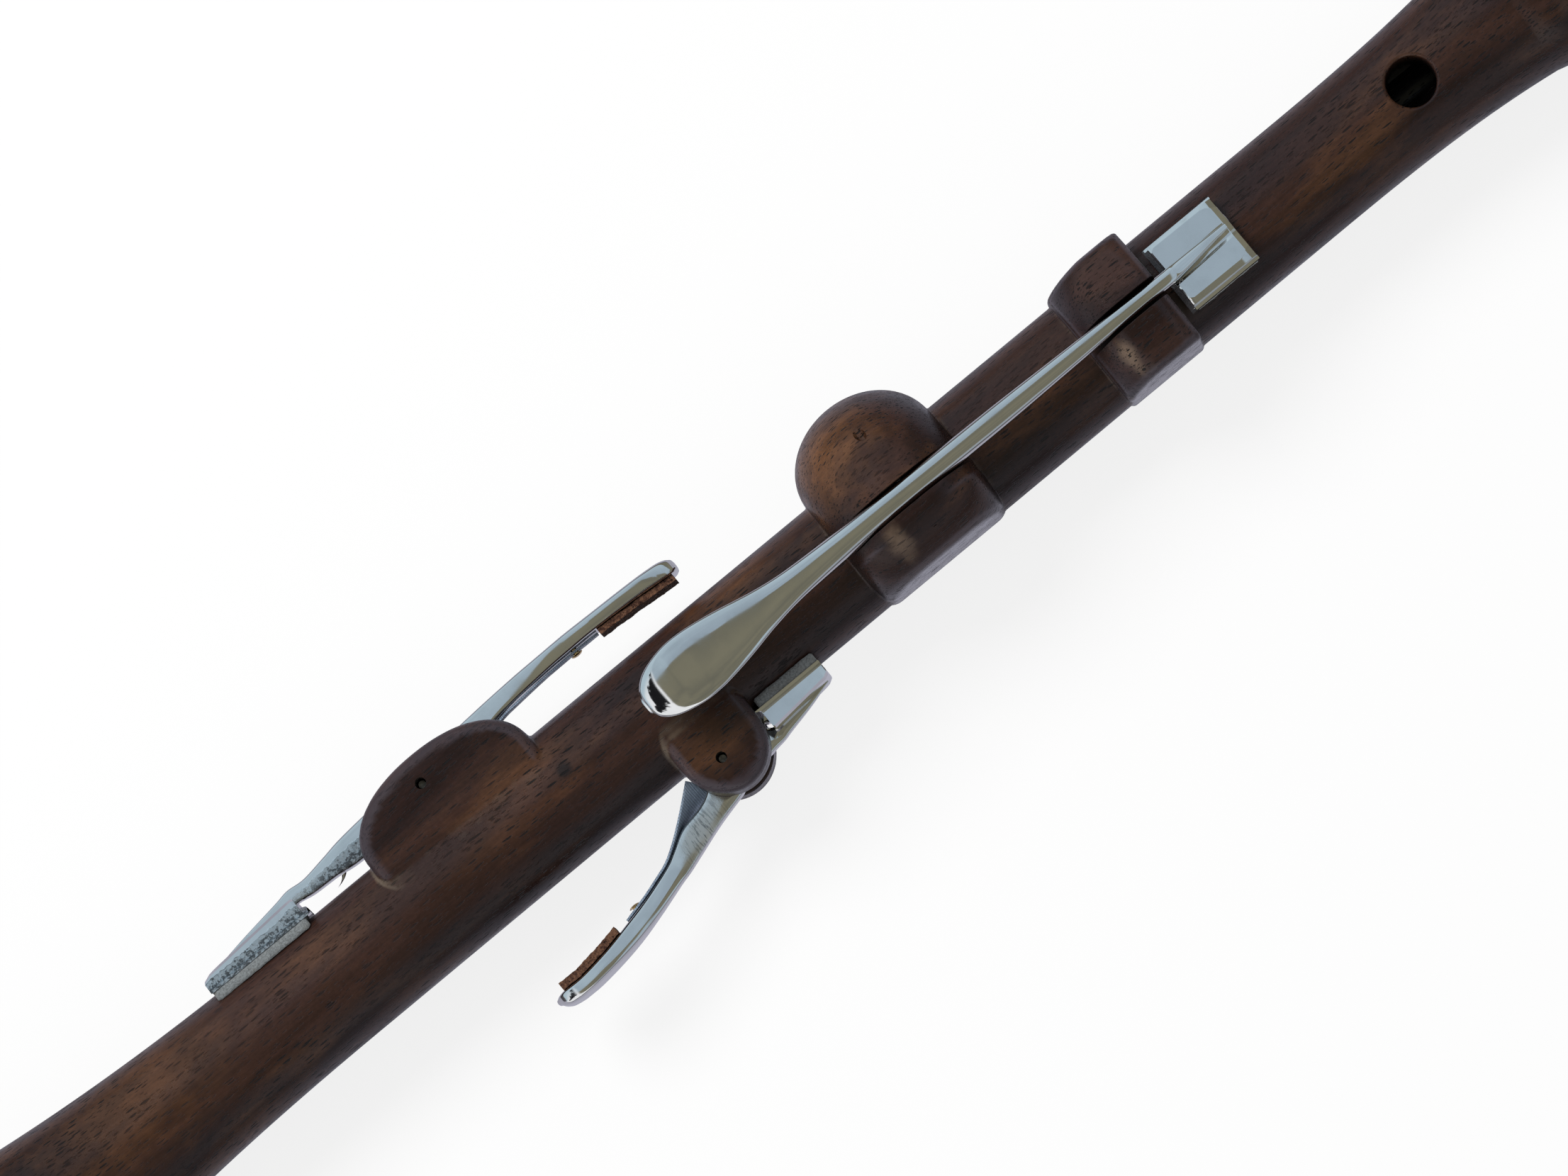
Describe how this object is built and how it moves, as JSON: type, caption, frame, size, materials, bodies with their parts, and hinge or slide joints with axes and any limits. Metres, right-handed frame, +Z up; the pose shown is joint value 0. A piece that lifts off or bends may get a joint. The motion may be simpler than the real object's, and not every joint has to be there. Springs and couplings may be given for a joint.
{
  "type": "uilleann pipes chanter",
  "caption": "Keyed wooden chanter of uilleann pipes with a conical bore, three sprung plated keys in carved blocks, a double reed and a pull-off reed cap.",
  "frame": {"origin": "centre of the underside of the chanter's box as it lies on a table with its keys up", "axes": "+X along the chanter from its foot to its neck tube, +Z up, on the side of the thumb hole and the long key, +Y towards the left key"},
  "size_m": [0.4224, 0.044, 0.034],
  "materials": {
    "rosewood": "turned dark rosewood, oiled and worn smooth",
    "nickel": "bright nickel plate",
    "steel": "hardened spring and pin steel",
    "pad_leather": "pale suede key pad",
    "cork": "reddish brown cork",
    "brass": "brass",
    "cane": "split and scraped cane",
    "thread": "waxed thread winding"
  },
  "bodies": {
    "chanter": {"chanter_body": "rosewood", "foot_ferrule": "nickel", "head_ferrule": "nickel", "tenon_cork": "cork", "reed_staple": "brass", "reed_lapping": "thread", "reed_blade_back": "cane", "reed_blade_front": "cane", "reed_binding": "thread", "long_key_pin": "steel", "left_key_pin": "steel", "right_key_pin": "steel"},
    "long_key": {"long_key_lever": "nickel", "long_key_pad": "pad_leather", "long_key_cork": "cork", "long_key_spring": "steel", "long_key_rivet": "brass"},
    "left_key": {"left_key_lever": "nickel", "left_key_pad": "pad_leather", "left_key_cork": "cork", "left_key_spring": "steel", "left_key_rivet": "brass"},
    "right_key": {"right_key_lever": "nickel", "right_key_pad": "pad_leather", "right_key_cork": "cork", "right_key_spring": "steel", "right_key_rivet": "brass"},
    "bridle": {"reed_bridle": "brass"},
    "cap": {"cap_body": "rosewood", "cap_ferrule": "nickel", "cap_crown_ring": "nickel", "neck_tube": "nickel"}
  },
  "joints": [
    {"name": "long_key_press", "type": "hinge", "parent": "chanter", "child": "long_key", "pos_m": [-0.03442, 0.0033, 0.02933], "axis": [0, -1, 0], "range_deg": [0, 4.5], "stiffness_Nm_per_rad": 0.2, "springref_deg": -11.46, "deforming": ["long_key_spring"]},
    {"name": "left_key_press", "type": "hinge", "parent": "chanter", "child": "left_key", "pos_m": [-0.11621, 0.0169, 0.01433], "axis": [0, 0, -1], "range_deg": [0, 3.7], "stiffness_Nm_per_rad": 0.15, "springref_deg": -11.46, "deforming": ["left_key_spring"]},
    {"name": "right_key_press", "type": "hinge", "parent": "chanter", "child": "right_key", "pos_m": [-0.07992, -0.0084, 0.01433], "axis": [0, 0, -1], "range_deg": [0, 16.5], "stiffness_Nm_per_rad": 0.06, "springref_deg": -22.92, "deforming": ["right_key_spring"]},
    {"name": "bridle_slide", "type": "slide", "parent": "chanter", "child": "bridle", "axis": [1, 0, 0], "range_m": [-0.0015, 0.0005]},
    {"name": "cap_pull", "type": "slide", "parent": "chanter", "child": "cap", "axis": [1, 0, 0], "range_m": [0, 0.075]}
  ]
}
